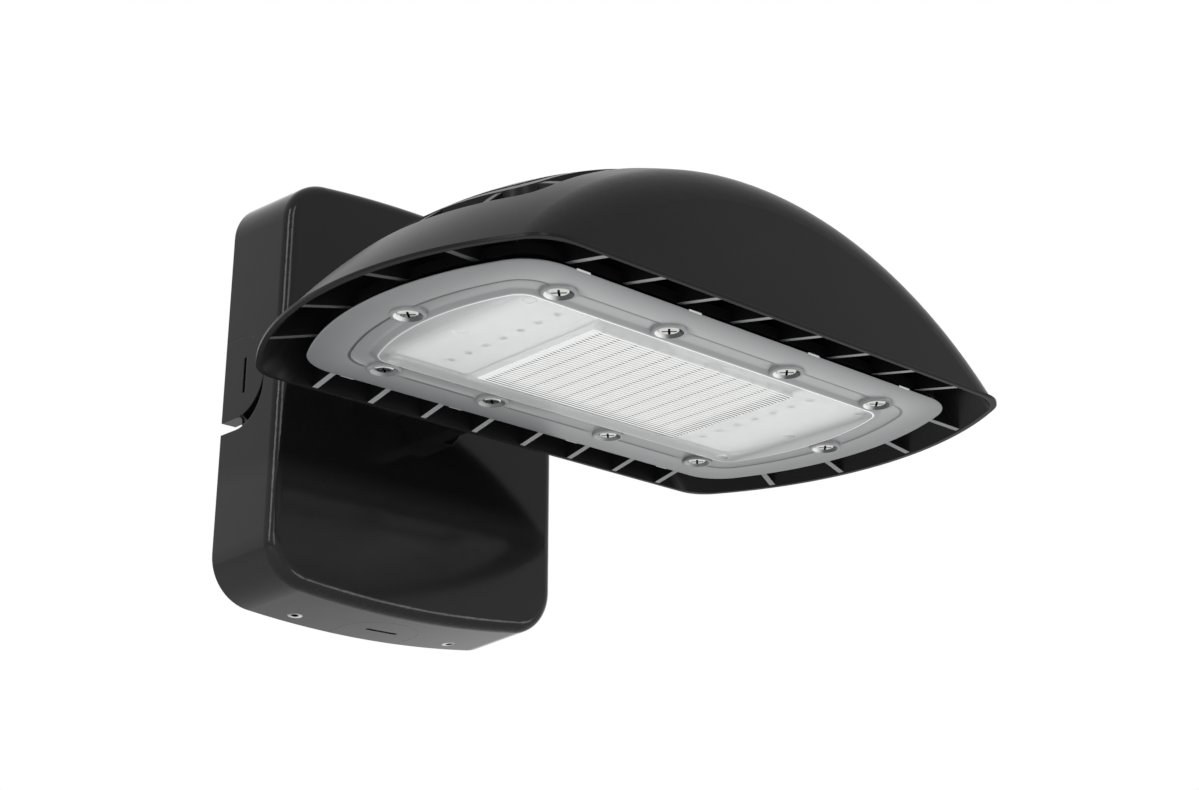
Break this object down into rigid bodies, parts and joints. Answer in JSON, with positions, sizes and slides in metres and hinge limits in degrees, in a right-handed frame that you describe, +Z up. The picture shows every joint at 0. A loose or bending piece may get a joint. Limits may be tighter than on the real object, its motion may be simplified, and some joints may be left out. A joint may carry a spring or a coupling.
{
  "type": "wall mounted floodlight",
  "caption": "Black die-cast wall floodlight: a wall box with conduit plugs, a tilting half-lap knuckle and a domed, finned lamp head with a flat lens underneath.",
  "frame": {"origin": "on the wall plane, at the middle of the wall plate's bolt pattern", "axes": "+X to the right seen from the front, +Y into the wall, +Z up; the light stands out along -Y"},
  "size_m": [0.2892, 0.2613, 0.192],
  "materials": {
    "black_casting": "satin",
    "bright_steel": "polished",
    "black_steel": "satin",
    "green_steel": "satin",
    "galvanised_steel": "satin",
    "black_rubber": "matte",
    "foam_rubber": "matte",
    "driver_case": "matte",
    "white_board": "matte",
    "light_chip": "gloss",
    "clear_lens": "gloss",
    "prismatic_lens": "gloss",
    "white_plastic": "satin"
  },
  "bodies": {
    "wall_side": {"wall_gasket": "foam_rubber", "wall_plate": "galvanised_steel", "ground_screw": "green_steel"},
    "cover": {"wall_box": "black_casting", "grub_screws": "bright_steel", "arm": "black_casting", "arm_screws": "bright_steel", "arm_grommet": "black_rubber", "pivot_bolt": "black_steel", "pivot_nut": "black_steel", "pivot_washers": "black_steel"},
    "head": {"head_tongue": "black_casting", "tongue_screws": "black_steel", "head_casting": "black_casting", "head_grommet": "black_rubber", "driver_cap": "black_casting", "cap_seal": "black_rubber", "cap_screws": "bright_steel", "driver": "driver_case", "driver_screws": "bright_steel", "light_board": "white_board", "board_screws": "bright_steel", "light_chips": "light_chip", "lens_seal": "black_rubber", "lens_plate": "clear_lens", "optic_panel": "prismatic_lens", "optic_rails": "white_plastic", "lens_screws": "bright_steel"},
    "left_plug": {"left_plug": "black_casting"},
    "right_plug": {"right_plug": "black_casting"},
    "bottom_plug": {"bottom_plug": "black_casting"}
  },
  "joints": [
    {"name": "cover_pull", "type": "slide", "parent": "wall_side", "child": "cover", "axis": [0, -1, 0], "range_m": [0, 0.06]},
    {"name": "head_tilt", "type": "hinge", "parent": "cover", "child": "head", "pos_m": [0, -0.0715, 0.002], "axis": [-1, 0, 0], "range_deg": [-15, 60]},
    {"name": "left_plug_pull", "type": "slide", "parent": "cover", "child": "left_plug", "axis": [-1, 0, 0], "range_m": [0, 0.03]},
    {"name": "right_plug_pull", "type": "slide", "parent": "cover", "child": "right_plug", "axis": [1, 0, 0], "range_m": [0, 0.03]},
    {"name": "bottom_plug_pull", "type": "slide", "parent": "cover", "child": "bottom_plug", "axis": [0, 0, -1], "range_m": [0, 0.03]}
  ]
}
